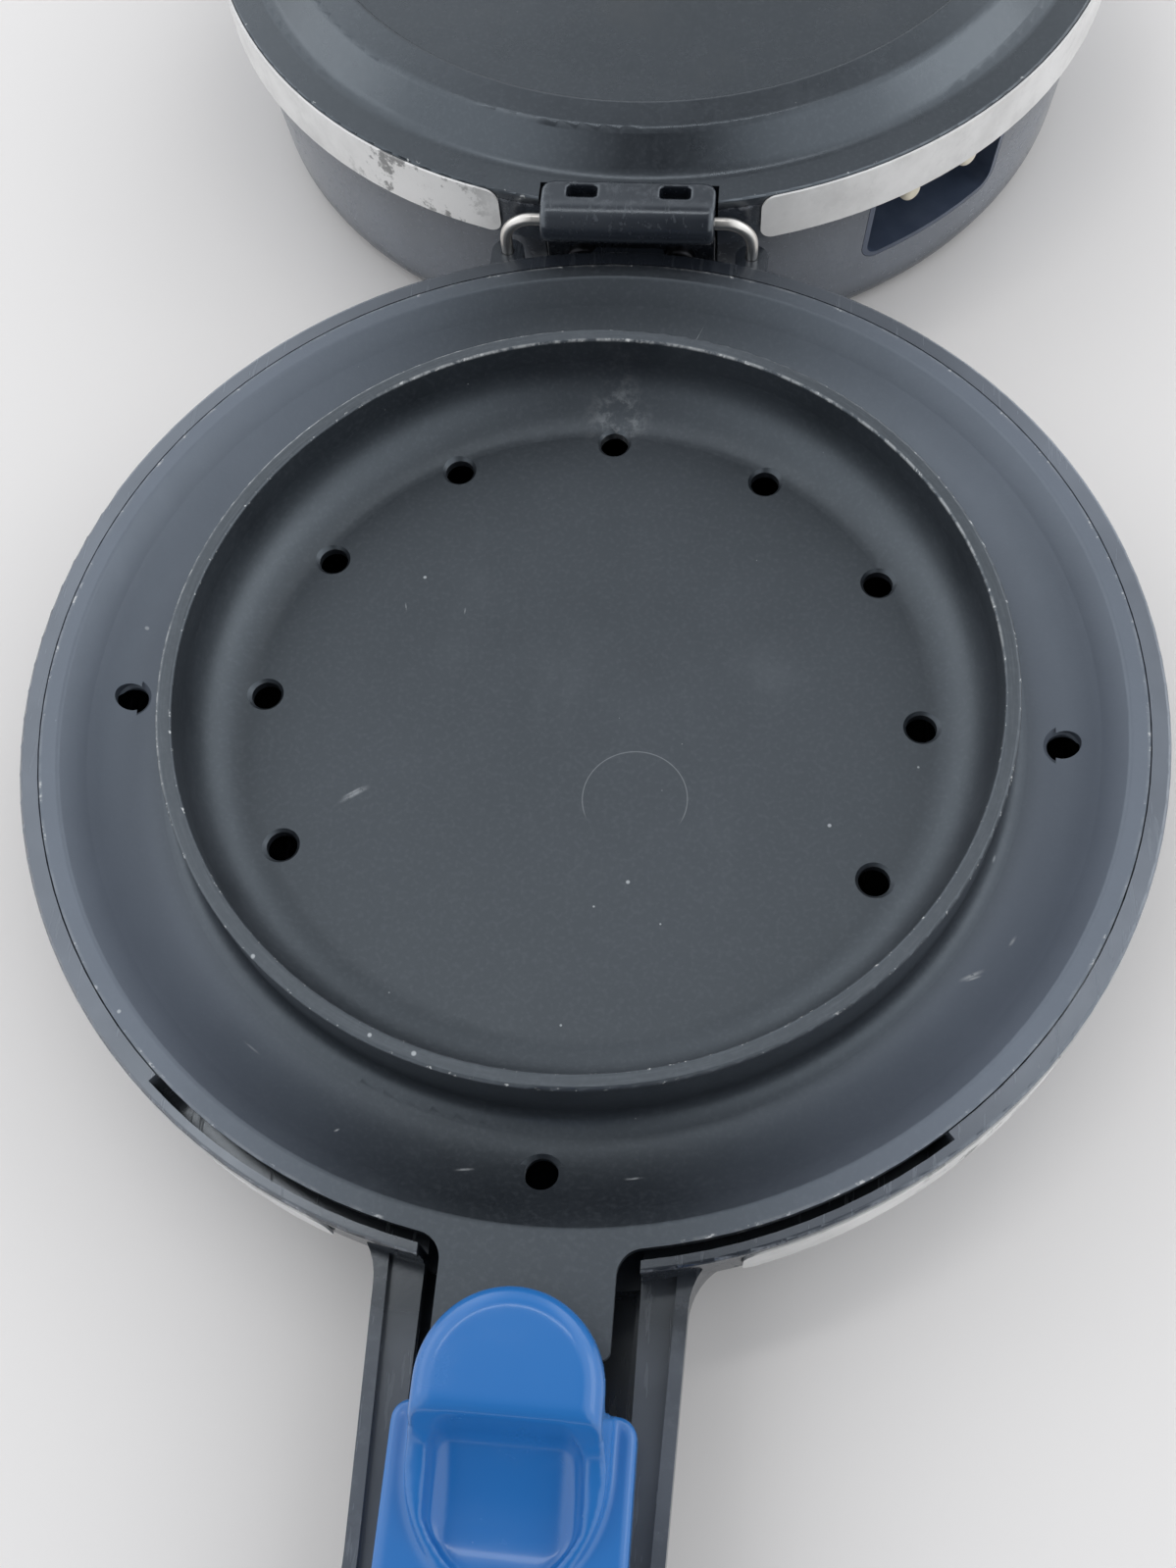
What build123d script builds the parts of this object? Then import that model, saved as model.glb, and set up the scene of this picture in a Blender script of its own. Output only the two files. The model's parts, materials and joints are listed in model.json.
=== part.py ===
from build123d import *
import os
from math import atan2, cos, degrees, radians, sin, sqrt, tan

# A clamshell electric hamburger cooker, lying open. The lower half is a black moulded pan with a long
# handle and a lift-out cooking tray. The upper half, the heating head, lies on its back behind it.
#
# Sizes are in millimetres. Pieces of the lower half are drawn in the pan's frame: origin at the centre
# of the pan's rim plane, +Y towards the hinge, -Y along the handle, +Z up. Pieces of the head are drawn
# in the head's frame: origin at the centre of its rim plane, as it lies open, with the hinge at -Y.

# Sizes shared by both halves
rim_radius = 82.5
band_height = 8.6
band_thickness = 0.4
band_gap = 0.1
band_corner = 2.2

# Pan
pan_height = 28.0
pan_wall = 2.6
pan_floor = 2.5
pan_edge_round = 4.0
pan_draft = 2.4
rim_width = 2.7
rim_edge_round = 0.5
wall_step = 1.7
ledge_width = 2.0
ledge_drop = 1.9
ledge_stop_angle = 40.0
moat_depth = 7.0
moat_rim_width = 1.5
foot_radius = 5.0
foot_height = 1.5
foot_inset = 24.5
foot_stem_radius = 2.0
foot_stem_length = 1.5
foot_count = 4
pan_band_drop = 1.7
pan_band_front_gap = 26.5
pan_band_back_gap = 24.6

# Cooking tray
tray_metal = 1.8
tray_edge_gap = 0.2
tray_seat_gap = 0.1
tray_flange_width = 2.7
trough_width = 15.9
ring_wall = 2.3
ring_height = 13.4
cup_depth = 7.6
cup_round = 8.5
trough_depth = 6.9
trough_slope_run = 7.0
trough_round = 13.0
trough_foot_round = 3.0
drain_radius = 2.25
drain_edge = 0.45
cup_drain_inset = 9.7
cup_drain_angles = [-120, -90, -60, -30, 0, 30, 60, 90, 120]
trough_drain_offset = 8.0
trough_drain_angles = [-92, 92, 180]
tongue_width = 22.0
tongue_gap = 0.4
tongue_round = 3.5

# Handle
handle_length = 111.0
handle_root_width = 41.0
handle_width = 38.0
handle_neck_length = 32.5
handle_root_depth = 15.0
handle_drop = 6.0
handle_depth = 18.5
handle_wall = 2.4
handle_floor = 2.6
handle_root_round = 9.0
handle_bottom_chamfer = 4.5
root_overlap = 0.3
ridge_width = 1.7
deck_drop = 1.5
deck_thickness = 2.2
slot_width = 27.8
slot_setback = 1.5
vent_depth = 14.0
vent_reach = 6.0

# Latch
latch_travel = 5.5
latch_width = 29.8
latch_length = 43.5
latch_top_drop = 1.4
latch_corner = 2.5
latch_edge_round = 1.0
latch_wall = 2.4
slide_gap = 0.3
guide_length = 32.0
guide_inset = 6.5
nose_setback = 2.9
nose_overhang = 12.3
nose_length = 14.0
nose_top = 10.7
nose_under = 6.6
nose_base_width = 24.4
nose_top_width = 21.8
nose_edge_round = 2.4
nose_back_round = 2.5
thumb_length = 19.1
thumb_slope_run = 3.6
thumb_slope_foot = 3.0
thumb_slope_round = 8.0
thumb_arc_start = 5.1
thumb_arc_radius = 16.0
thumb_tail_round = 5.0
thumb_wall = 1.6
thumb_half_width = 9.3
thumb_depth = 2.0
thumb_back_round = 5.0
thumb_floor_round = 14.0
thumb_edge_round = 3.0
retainer_overlap = 2.3
retainer_thickness = 1.2
latch_screw_radius = 1.5
latch_screw_head_radius = 2.8
latch_screw_head_height = 1.6
latch_screw_bite = 4.4
latch_screw_spacing = 16.0
driver_hole_radius = 3.5

# Hinge
axis_setback = 0.4
axis_height = 6.3
rim_above_axis = 2.6
float_travel = 2.7
wire_radius = 1.0
wire_bend = 4.6
bail_half_width = 20.4
bail_tail = 1.0
ear_radius = 2.7
ear_drop = 1.0
ear_height = 10.0
ear_fit = 0.08
clip_radius = 2.9
clip_thickness = 0.8
barrel_length = 28.4
barrel_radius = 3.4
barrel_end_round = 1.0
barrel_top = 3.3
barrel_fit = 0.06
bracket_depth = 5.4
bracket_web = 2.4
bracket_drop = 14.3
core_hole_length = 4.9
core_hole_width = 2.5
core_hole_depth = 5.0
core_hole_spacing = 15.2
hinge_screw_radius = 1.6
hinge_screw_head_radius = 2.7
hinge_screw_head_height = 1.5
hinge_screw_length = 6.0
hinge_screw_spacing = 16.0
hinge_screw_drop = 11.0
stop_tab_width = 14.0
stop_tab_reach = 1.0
stop_tab_drop = 0.3
stop_tab_height = 6.0

# Head
head_wall = 2.6
head_top_thickness = 2.8
head_edge_round = 5.0
head_draft = 2.3
head_step = 1.9
head_rim_width = 2.6
head_band_drop = 0.3
head_band_gap = 21.6
head_dish_inset = 22.5
head_dish_depth = 0.8
boss_width = 34.0
boss_thickness = 4.4
boss_margin = 3.6
pocket_clearance = 0.4
pocket_side_clearance = 0.6
pocket_wall = 1.8
pocket_band_margin = 1.6
post_radius = 3.2
post_offset = 0.1
post_angles = [90, 210, 330]
post_top = 3.9

# Cooking plate of the head
plate_metal = 2.6
plate_flange = 1.6
plate_flange_width = 6.5
plate_cove_width = 5.5
plate_ring_gap = 3.6
plate_ridge_height = 5.8
plate_ridge_slope = 0.9
plate_ridge_round = 2.4
plate_cove_round = 3.5
plate_lip_round = 0.8
well_depth = 5.6
well_round = 2.0
plate_seat_gap = 0.1

# Heating parts behind the plate
contact_gap = 0.1
element_radius = 3.3
element_inset = 13.0
element_half_gap = 32.0
element_stub = 6.5
terminal_radius = 1.2
terminal_overhang = 1.5
clamp_thickness = 1.0
clamp_inner_width = 21.0
clamp_outer_width = 7.0
clamp_post_radius = 3.6
clamp_post_inset = 12.0
clamp_post_angles = [60, 180, 300]
clamp_stub_gap = 0.8
clamp_screw_radius = 1.9
clamp_screw_head_radius = 3.6
clamp_screw_head_height = 2.2
clamp_screw_bite = 5.0
cutout_radius = 8.0
cutout_height = 6.2
cutout_post_spacing = 24.0
cutout_post_radius = 2.8
cutout_post_height = 3.8
cutout_tab_thickness = 1.0
cutout_tab_width = 8.0
cutout_blade_spacing = 8.0
cutout_blade_radius = 0.9
cutout_screw_radius = 1.4
cutout_screw_head_radius = 2.4
cutout_screw_head_height = 1.6
cutout_screw_bite = 3.0
shield_inset = 10.0
shield_thickness = 0.6
shield_lip = 3.0
pad_thickness = 12.0
plate_screw_radius = 1.6
plate_screw_head_radius = 2.6
plate_screw_head_height = 2.0
plate_screw_bite = 5.0
screw_fit = 0.05

# Inlet
inlet_angle = 41.0
inlet_width = 28.6
inlet_height = 14.0
inlet_drop = 10.4
inlet_corner = 2.5
inlet_depth = 16.5
guard_wall = 1.0
guard_fit = 0.1
pin_spacing = 12.7
pin_radius = 2.0
pin_shank_radius = 1.6
pin_shoulder_gap = 0.05
pin_drop = 13.4
pin_tip_setback = 2.9
pin_tail = 9.0
pin_tip_round = 1.2
inlet_block_width = 24.0
inlet_block_height = 8.4
inlet_block_depth = 8.0
lead_radius = 1.1
lead_bend = 1.6
lead_gap = 0.3
lead_setback = 3.3

# Places worked out from the sizes above
rim_inner_radius = rim_radius - rim_width
foot_circle = rim_radius - foot_inset
tray_radius = rim_inner_radius - tray_edge_gap
ring_outer_radius = tray_radius - tray_flange_width - trough_width
ring_inner_radius = ring_outer_radius - ring_wall
ring_top = ring_height - cup_depth
cup_drain_circle = ring_inner_radius - cup_drain_inset
trough_drain_circle = ring_outer_radius + trough_drain_offset
band_inner_radius = rim_radius - band_thickness / 2
band_seat_radius = band_inner_radius - band_gap
pan_band_bottom = pan_band_drop + band_height
pan_step_z = pan_band_bottom + band_gap
pan_wall_top_radius = band_seat_radius - wall_step
pan_wall_foot_radius = pan_wall_top_radius - pan_draft
ledge_radius = rim_inner_radius - ledge_width
table_z = -pan_height - foot_height
handle_reach = rim_radius + handle_length
handle_neck = rim_radius + handle_neck_length
handle_top_z = -handle_drop
deck_z = handle_top_z - deck_drop
deck_under_z = deck_z - deck_thickness
handle_under_z = handle_top_z - handle_depth
handle_floor_z = handle_under_z + handle_floor
nose_reach = rim_radius + nose_setback
nose_back = nose_reach + nose_length
thumb_end = nose_back + thumb_length
latch_front = nose_reach + nose_overhang
tongue_reach = latch_front - latch_travel - tongue_gap
hinge_y = rim_radius + axis_setback
head_y = 2 * hinge_y
head_z = axis_height + rim_above_axis
head_height = head_z - table_z
closed_head_z = axis_height - rim_above_axis
head_wall_top_radius = band_seat_radius - head_step
head_wall_foot_radius = head_wall_top_radius - head_draft
head_band_bottom = head_band_drop + band_height
head_step_z = head_band_bottom + 4 * band_gap
head_floor_z = -head_height + head_top_thickness
head_dish_radius = rim_radius - head_dish_inset
plate_flange_inner = rim_radius - plate_flange_width
plate_ridge_outer = plate_flange_inner - plate_cove_width
plate_ridge_inner = ring_outer_radius + plate_ring_gap
post_circle = plate_ridge_outer + post_offset
inlet_floor_radius = rim_radius - inlet_depth
inlet_block_inner = inlet_floor_radius - inlet_block_depth
pin_tip_radius = rim_radius - pin_tip_setback
pin_inner_radius = inlet_floor_radius - pin_tail
element_circle = inlet_block_inner - element_inset
clamp_outer = element_circle + clamp_outer_width
clamp_inner = element_circle - clamp_inner_width
clamp_post_circle = element_circle - clamp_post_inset
shield_radius = inlet_floor_radius - shield_inset
web_back_y = hinge_y + bracket_depth
notch_y = web_back_y + guard_fit - head_y
notch_half_width = barrel_length / 2 + band_thickness
well_under_z = -well_depth - plate_metal
element_z = well_under_z - contact_gap - element_radius
clamp_top_z = element_z - element_radius - contact_gap
clamp_under_z = clamp_top_z - clamp_thickness
lead_z = element_z - element_stub - lead_gap - lead_radius
terminal_low_z = lead_z - terminal_overhang
pad_top_z = head_floor_z + contact_gap + pad_thickness
guide_front = latch_front + guide_inset
guide_back = guide_front + guide_length
guide_under_z = deck_under_z - slide_gap
latch_under_z = deck_z + slide_gap
latch_screw_mid = (guide_front + guide_back) / 2
latch_screw_places = [-latch_screw_mid + side * latch_screw_spacing / 2 for side in (-1, 1)]


def outline(points):
    """Closed face through (x, y, corner radius) points."""
    face = make_face(Polyline([(x, y) for x, y, r in points], close=True).edges())
    for x, y, r in points:
        if r > 0:
            corner = face.vertices().sort_by(lambda v: abs(Vector(v) - Vector(x, y)))[0]
            face = fillet(corner, r)
    return face


def turned(points):
    """Solid of revolution about Z, from (radius, height, corner radius) points."""
    return revolve(Plane.XZ * outline(points), Axis.Z)


def slab(face, bottom, top):
    """A flat face in XY, raised between two heights."""
    return extrude(Pos(0, 0, bottom) * face, top - bottom)


def block(x0, x1, y0, y1, z0, z1):
    return Pos((x0 + x1) / 2, (y0 + y1) / 2, (z0 + z1) / 2) * Box(x1 - x0, y1 - y0, z1 - z0)


def rod(radius, bottom, top, x=0.0, y=0.0):
    return Pos(x, y, (bottom + top) / 2) * Cylinder(radius, top - bottom)


def rod_along_y(radius, start, end, x, z):
    return Pos(x, (start + end) / 2, z) * Rot(90, 0, 0) * Cylinder(radius, end - start)


def around(angle, radius):
    """Place on a circle, at an angle from +Y towards +X."""
    return radius * sin(radians(angle)), radius * cos(radians(angle))


def screw(shank_radius, head_radius, head_height, length):
    """Pan-head screw along +Z, its head's seat at z = 0, with a cross recess in the head."""
    head = turned([(0, -head_height, 0), (head_radius, -head_height, head_height * 0.6),
                   (head_radius, 0, 0), (0, 0, 0)])
    shank = rod(shank_radius, 0, length)
    recess = head_height * 0.5
    arm = head_radius * 0.55
    cross = block(-arm, arm, -arm / 5, arm / 5, -head_height, recess - head_height)
    cross += block(-arm / 5, arm / 5, -arm, arm, -head_height, recess - head_height)
    return head + shank - cross


def trim_band(top, bottom, openings):
    """Thin band between two heights. Each opening is (side of Y, half width)."""
    inner, outer = band_inner_radius, band_inner_radius + band_thickness
    band = rod(outer, bottom, top) - rod(inner, bottom - 1, top + 1)
    for side, half_width in openings:
        edge = half_width + band_corner
        gap = outline([(-edge, bottom - 1, 0), (edge, bottom - 1, 0), (edge, top + 1, 0),
                       (-edge, top + 1, 0)])
        for end in (-1, 1):
            near, far = end * half_width, end * (edge + 5)
            gap -= outline([(near, bottom, band_corner), (near, top, band_corner), (far, top, 0),
                            (far, bottom, 0)])
        band -= extrude(Plane.XZ * gap, -side * (outer + 1))
    return band


# Lower half

def handle_outline(inset=0.0):
    """Plan of the handle, drawn in by an even inset."""
    root = handle_root_width / 2 - inset
    half = handle_width / 2 - inset
    inside = -rim_radius + handle_root_depth
    return outline([(-root, inside, 0), (root, inside, 0), (half, -handle_neck, 0),
                    (half, -handle_reach + inset, half * 0.98),
                    (-half, -handle_reach + inset, half * 0.98), (-half, -handle_neck, 0)])


def handle_body():
    """The handle's outside, with round roots where it meets the pan's wall."""
    wall_radius = pan_wall_top_radius - root_overlap
    plan = Circle(wall_radius) + handle_outline()
    root = handle_root_width / 2
    meeting_y = -sqrt(wall_radius ** 2 - root ** 2)
    for side in (-1, 1):
        corner = plan.vertices().sort_by(lambda v: abs(Vector(v) - Vector(side * root, meeting_y)))[0]
        plan = fillet(corner, handle_root_round)
    reach = (root + handle_root_round) * wall_radius / (wall_radius + handle_root_round) - root_overlap
    keep = Pos(0, -handle_reach) * Rectangle(2 * reach, 2 * handle_reach - rim_radius)
    body = slab(plan & keep, handle_under_z, handle_top_z)
    lowest = body.faces().sort_by(Axis.Z)[0]
    outer_edges = [e for e in lowest.edges() if e.center().Y < -handle_neck]
    return chamfer(outer_edges, handle_bottom_chamfer)


def handle_hollow():
    """Everything cut out of the handle: the recess, the latch slot with its vent, the channel."""
    clear = rod(rim_radius, handle_under_z - 1, handle_top_z + 1)
    recess = slab(handle_outline(ridge_width), deck_z, handle_top_z + 1)
    half = slot_width / 2
    slot = block(-half, half, -guide_back - slide_gap, -rim_radius - slot_setback, deck_under_z - 1, 1)
    slot += block(-half, half, -rim_radius - slot_setback - 0.5, -ledge_radius + vent_reach, -vent_depth, 1)
    shoulder = handle_under_z + handle_bottom_chamfer + handle_floor
    narrow = slab(handle_outline(handle_wall + handle_bottom_chamfer), handle_floor_z, shoulder)
    wide = slab(handle_outline(handle_wall), shoulder, deck_under_z)
    return recess + narrow + wide - clear + slot


def base_shell():
    """Pan, handle, hinge ears and stop tab, moulded as one piece."""
    wall_foot = pan_wall_foot_radius
    outside = turned([(0, -pan_height, 0), (wall_foot, -pan_height, pan_edge_round),
                      (pan_wall_top_radius, -pan_step_z, 0), (band_seat_radius, -pan_step_z, 0),
                      (band_seat_radius, -pan_band_drop, 0), (rim_radius, -pan_band_drop, 0),
                      (rim_radius, 0, rim_edge_round), (0, 0, 0)])
    inner_foot = wall_foot - pan_wall
    inner_top = pan_wall_top_radius - pan_wall
    inside = turned([(0, -pan_height + pan_floor, 0),
                     (inner_foot, -pan_height + pan_floor, pan_edge_round - 1),
                     (inner_top, -pan_step_z - 1, 0), (ledge_radius, -ledge_drop - 1.5, 0),
                     (ledge_radius, -ledge_drop, 0), (rim_inner_radius, -ledge_drop, 0),
                     (rim_inner_radius, 1, 0), (0, 1, 0)])
    shell = outside + (handle_body() - rod(pan_wall_foot_radius - 1, handle_under_z - 1, 1))
    for side in (-1, 1):
        shell += hinge_ear(side)
    shell += stop_tab()
    shell = shell - inside - front_moat() - handle_hollow()
    for side in (-1, 1):
        shell -= rod(wire_radius + ear_fit, -ear_drop - ear_height - 1, 1, side * bail_half_width, hinge_y)
    for x, y in foot_places():
        shell -= rod(foot_stem_radius + guard_fit, -pan_height - 1,
                     -pan_height + foot_stem_length + guard_fit, x, y)
    for y in latch_screw_places:
        shell -= rod(driver_hole_radius, handle_under_z - 1, handle_floor_z + 1, 0, y)
    return shell


def front_moat():
    """Towards the handle the ledge stops, which leaves a narrow deep groove round the tray."""
    outer = rim_radius - moat_rim_width
    groove = rod(outer, -ledge_drop - moat_depth, 1) - rod(ledge_radius - 0.5, -pan_height, 2)
    reach = 2 * rim_radius
    spread = reach * tan(radians(ledge_stop_angle))
    wedge = make_face(Polyline((0, 0), (spread, -reach), (-spread, -reach), close=True).edges())
    return groove & slab(wedge, -pan_height, 2)


def hinge_ear(side):
    """A lug behind the rim, with a socket for one leg of the bail."""
    x = side * bail_half_width
    low, high = -ear_drop - ear_height, -ear_drop
    lug = rod(ear_radius, low, high, x, hinge_y)
    inner_y = sqrt(pan_wall_top_radius ** 2 - bail_half_width ** 2) - pan_wall / 2
    return lug + block(x - ear_radius, x + ear_radius, inner_y, hinge_y, low, high)


def stop_tab():
    """Small tab on the back of the rim, under the barrel."""
    half = stop_tab_width / 2
    outer = rim_radius + stop_tab_reach
    plan = outline([(-half, rim_radius - 1.5, 0), (half, rim_radius - 1.5, 0),
                    (half * 0.78, outer, 0.4), (-half * 0.78, outer, 0.4)])
    return slab(plan, -stop_tab_drop - stop_tab_height, -stop_tab_drop)


def foot_places():
    return [around(45 + 360 / foot_count * i, foot_circle) for i in range(foot_count)]


def base_feet():
    """Rubber feet, each with a stem pressed into the pan's underside."""
    foot = turned([(0, -foot_height, 0), (foot_radius - 0.6, -foot_height, 0.5),
                   (foot_radius, 0, 0), (0, 0, 0)])
    foot += rod(foot_stem_radius, 0, foot_stem_length)
    return [Pos(x, y, -pan_height) * foot for x, y in foot_places()]


def base_trim_band():
    return trim_band(-pan_band_drop - band_gap / 2, -pan_band_bottom,
                     [(-1, pan_band_front_gap), (1, pan_band_back_gap)])


def cooking_tray():
    """Cast tray: the patty cup inside its ring, the trough round it, the flange and the tongue."""
    flange_start = tray_radius - tray_flange_width
    bend = flange_start - trough_slope_run
    slope = atan2(trough_depth, trough_slope_run)
    bend_under = bend + tray_metal * tan(slope / 2)
    flange_under = flange_start + tray_metal * tan(slope / 2)
    trough_under = -trough_depth - tray_metal
    cup_under = -cup_depth - tray_metal
    body = turned([(0, -cup_depth, 0), (ring_inner_radius, -cup_depth, cup_round),
                   (ring_inner_radius, ring_top, 0.5), (ring_outer_radius, ring_top, 0.5),
                   (ring_outer_radius, -trough_depth, trough_foot_round),
                   (bend, -trough_depth, trough_round), (flange_start, 0, 0.8),
                   (tray_radius, 0, 0.4), (tray_radius, -tray_metal, 0.3),
                   (flange_under, -tray_metal, 0.6),
                   (bend_under, trough_under, trough_round + tray_metal / 2),
                   (ring_outer_radius, trough_under, 0),
                   (ring_outer_radius - tray_metal, cup_under, 0), (0, cup_under, 0)])
    body += tray_tongue(flange_under)
    for angle in cup_drain_angles:
        body -= drain(angle, cup_drain_circle, -cup_depth)
    for angle in trough_drain_angles:
        body -= drain(angle, trough_drain_circle, -trough_depth)
    return body


def drain(angle, circle, floor_z):
    """What a drain hole takes out of the tray: the hole and the broken edge at its top."""
    x, y = around(angle, circle)
    hole = rod(drain_radius, floor_z - 2 * tray_metal, floor_z + 2 * tray_metal, x, y)
    edge = Pos(x, y, floor_z) * Cone(drain_radius, drain_radius + 2 * drain_edge, 2 * drain_edge)
    return hole + edge


def tray_tongue(inner_radius):
    """Flat tongue from the tray's flange, over the handle, with round corners at its root."""
    half = tongue_width / 2
    plan = Circle(tray_radius) + outline([(-half, 0, 0), (half, 0, 0), (half, -tongue_reach, 1.2),
                                          (-half, -tongue_reach, 1.2)])
    meeting_y = -sqrt(tray_radius ** 2 - half ** 2)
    for side in (-1, 1):
        corner = plan.vertices().sort_by(lambda v: abs(Vector(v) - Vector(side * half, meeting_y)))[0]
        plan = fillet(corner, tongue_round)
    return slab(plan - Circle(inner_radius), -tray_metal, 0)


# Latch

def nose_plan(inset=0.0):
    """Plan of the latch's block, drawn in by an even inset: round in front, two long arcs behind."""
    half = nose_base_width / 2 - inset
    front_y = -nose_reach - nose_top_width / 2
    arc_y = -nose_back - thumb_arc_start
    radius = thumb_arc_radius - inset
    tip_y = arc_y - sqrt(radius ** 2 - (radius - half) ** 2)
    curves = [ThreePointArc((half, front_y), (0, front_y + half), (-half, front_y))]
    for side in (-1, 1):
        curves += [Line((side * half, front_y), (side * half, arc_y)),
                   TangentArc((side * half, arc_y), (0, tip_y), tangent=(0, -1))]
    plan = make_face([edge for curve in curves for edge in curve.edges()])
    return fillet(plan.vertices().sort_by(Axis.Y)[0], thumb_tail_round)


def nose_block():
    """Block with drafted sides and a round top edge: the nose in front, the thumb hollow's walls behind."""
    low = -latch_top_drop - 1
    height = nose_top - low
    draft = degrees(atan2((nose_base_width - nose_top_width) / 2, height))
    body = extrude(Pos(0, 0, low) * nose_plan(), height, taper=draft)
    return fillet(body.faces().sort_by(Axis.Z)[-1].edges(), nose_edge_round)


def behind_nose():
    """What is taken off behind the nose: its round back edge, then the slope of the walls."""
    low = -latch_top_drop - 0.5
    far, high = -thumb_end - thumb_length, nose_top + 5
    start = -nose_back + nose_back_round + 1
    side = outline([(start, nose_top + 0.3, 0), (-nose_back, nose_top - 0.1, nose_back_round),
                    (-nose_back - thumb_slope_run, thumb_slope_foot, thumb_slope_round),
                    (-thumb_end, low, 0), (far, low, 0), (far, high, 0), (start, high, 0)])
    return extrude(Plane.YZ * side, nose_base_width, both=True)


def thumb_hollow():
    """Hollow for the thumb between the block's walls, with round lower edges."""
    low, high = -latch_top_drop, nose_top + 1
    middle_y = -nose_back - thumb_length / 2
    side = outline([(-nose_back, high, 0),
                    (-nose_back - thumb_slope_run * 0.55, thumb_slope_foot - 1, thumb_back_round),
                    (middle_y, low - thumb_depth, thumb_floor_round), (-thumb_end, low + 0.3, 0),
                    (-thumb_end, high, 0)])
    body = extrude(Plane.YZ * side, thumb_half_width, both=True)
    lower = [e for e in body.edges() if abs(e.center().X) > thumb_half_width - 0.1
             and e.center().Z < nose_top and e.center().Y > -thumb_end + 0.1]
    return fillet(lower, thumb_edge_round) & slab(nose_plan(thumb_wall), low - thumb_depth - 1, high)


def latch_slide():
    """Blue sliding latch: a hollow plate on the deck, a guide in the slot, the nose and the hollow."""
    middle_y = -latch_front - latch_length / 2
    plan = Pos(0, middle_y) * RectangleRounded(latch_width, latch_length, latch_corner)
    plate = slab(plan, latch_under_z, -latch_top_drop)
    plate = fillet(plate.faces().sort_by(Axis.Z)[-1].edges(), latch_edge_round)
    inner = Pos(0, middle_y) * Rectangle(latch_width - 2 * latch_wall, latch_length - 2 * latch_wall)
    plate -= slab(inner, latch_under_z - 1, -latch_top_drop - latch_wall)
    guide_half = slot_width / 2 - slide_gap
    guide = block(-guide_half, guide_half, -guide_back, -guide_front, guide_under_z,
                  -latch_top_drop - latch_wall / 2)
    body = plate + (nose_block() - behind_nose()) + guide - thumb_hollow()
    reach, low = -latch_front + nose_base_width, guide_under_z
    throat = outline([(-latch_front, nose_under, 1.5), (-latch_front, low, 0), (reach, low, 0),
                      (reach, nose_under, 0)])
    body -= extrude(Plane.YZ * throat, nose_base_width, both=True)
    for y in latch_screw_places:
        body -= rod(latch_screw_radius + screw_fit, guide_under_z - 1,
                    guide_under_z + latch_screw_bite + 2 * guard_fit, 0, y)
    return body


def latch_retainer():
    """Steel plate under the deck that keeps the latch on its rails."""
    half = slot_width / 2 + retainer_overlap
    plan = Pos(0, -latch_screw_mid) * RectangleRounded(2 * half, guide_length - 2, 1.5)
    plate = slab(plan, guide_under_z - retainer_thickness, guide_under_z)
    for y in latch_screw_places:
        plate -= rod(latch_screw_radius + screw_fit, guide_under_z - 5, guide_under_z + 5, 0, y)
    return plate


def latch_screws():
    one = screw(latch_screw_radius, latch_screw_head_radius, latch_screw_head_height,
                retainer_thickness + latch_screw_bite)
    return [Pos(0, y, guide_under_z - retainer_thickness) * one for y in latch_screw_places]


# Hinge

def bail_wire():
    """Wire bent to an upside-down U: the crossbar is the hinge pin, the legs slide in the ears."""
    low = -ear_drop - ear_height - slide_gap - clip_thickness - bail_tail
    half = bail_half_width
    path = FilletPolyline((-half, hinge_y, low), (-half, hinge_y, axis_height),
                          (half, hinge_y, axis_height), (half, hinge_y, low), radius=wire_bend)
    start = Plane(origin=(-half, hinge_y, low), z_dir=(0, 0, 1))
    return sweep(start * Circle(wire_radius), path)


def bail_clips():
    """Push nuts under the ears."""
    top = -ear_drop - ear_height - slide_gap
    nut = turned([(wire_radius + screw_fit, top - clip_thickness, 0), (clip_radius, top - clip_thickness, 0),
                  (clip_radius, top, 0.3), (wire_radius + screw_fit, top, 0)])
    return [Pos(side * bail_half_width, hinge_y, 0) * nut for side in (-1, 1)]


def hinge_barrel():
    """Moulded barrel with a flat top, two core holes and a web that screws to the head."""
    half = barrel_length / 2
    long_section = outline([(0, -half, 0), (barrel_radius, -half, barrel_end_round),
                            (barrel_radius, half, barrel_end_round), (0, half, 0)])
    barrel = Rot(0, 90, 0) * revolve(Plane.XZ * long_section, Axis.Z)
    end_round = bracket_depth * 0.38
    top_plan = outline([(-half, 0, 0), (half, 0, 0), (half, bracket_depth, end_round),
                        (-half, bracket_depth, end_round)])
    arm = slab(top_plan, -barrel_radius / 2, barrel_top)
    web = block(-half, half, bracket_depth - bracket_web, bracket_depth, -bracket_drop, 0)
    body = barrel + arm + web
    for side in (-1, 1):
        x = side * core_hole_spacing / 2
        far = bracket_depth - 0.9
        body -= block(x - core_hole_length / 2, x + core_hole_length / 2, far - core_hole_width, far,
                      barrel_top - core_hole_depth, barrel_top + 1)
        body -= rod_along_y(hinge_screw_radius + screw_fit, -1, bracket_depth + 1,
                            side * hinge_screw_spacing / 2, -hinge_screw_drop)
    body -= Rot(0, 90, 0) * Cylinder(wire_radius + barrel_fit, barrel_length + 2)
    return Pos(0, hinge_y, axis_height) * body


def hinge_screws():
    one = Rot(-90, 0, 0) * screw(hinge_screw_radius, hinge_screw_head_radius, hinge_screw_head_height,
                                 bracket_web + hinge_screw_length)
    y = web_back_y - bracket_web
    z = axis_height - hinge_screw_drop
    return [Pos(side * hinge_screw_spacing / 2, y, z) * one for side in (-1, 1)]


# Head, drawn in its own frame

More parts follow.
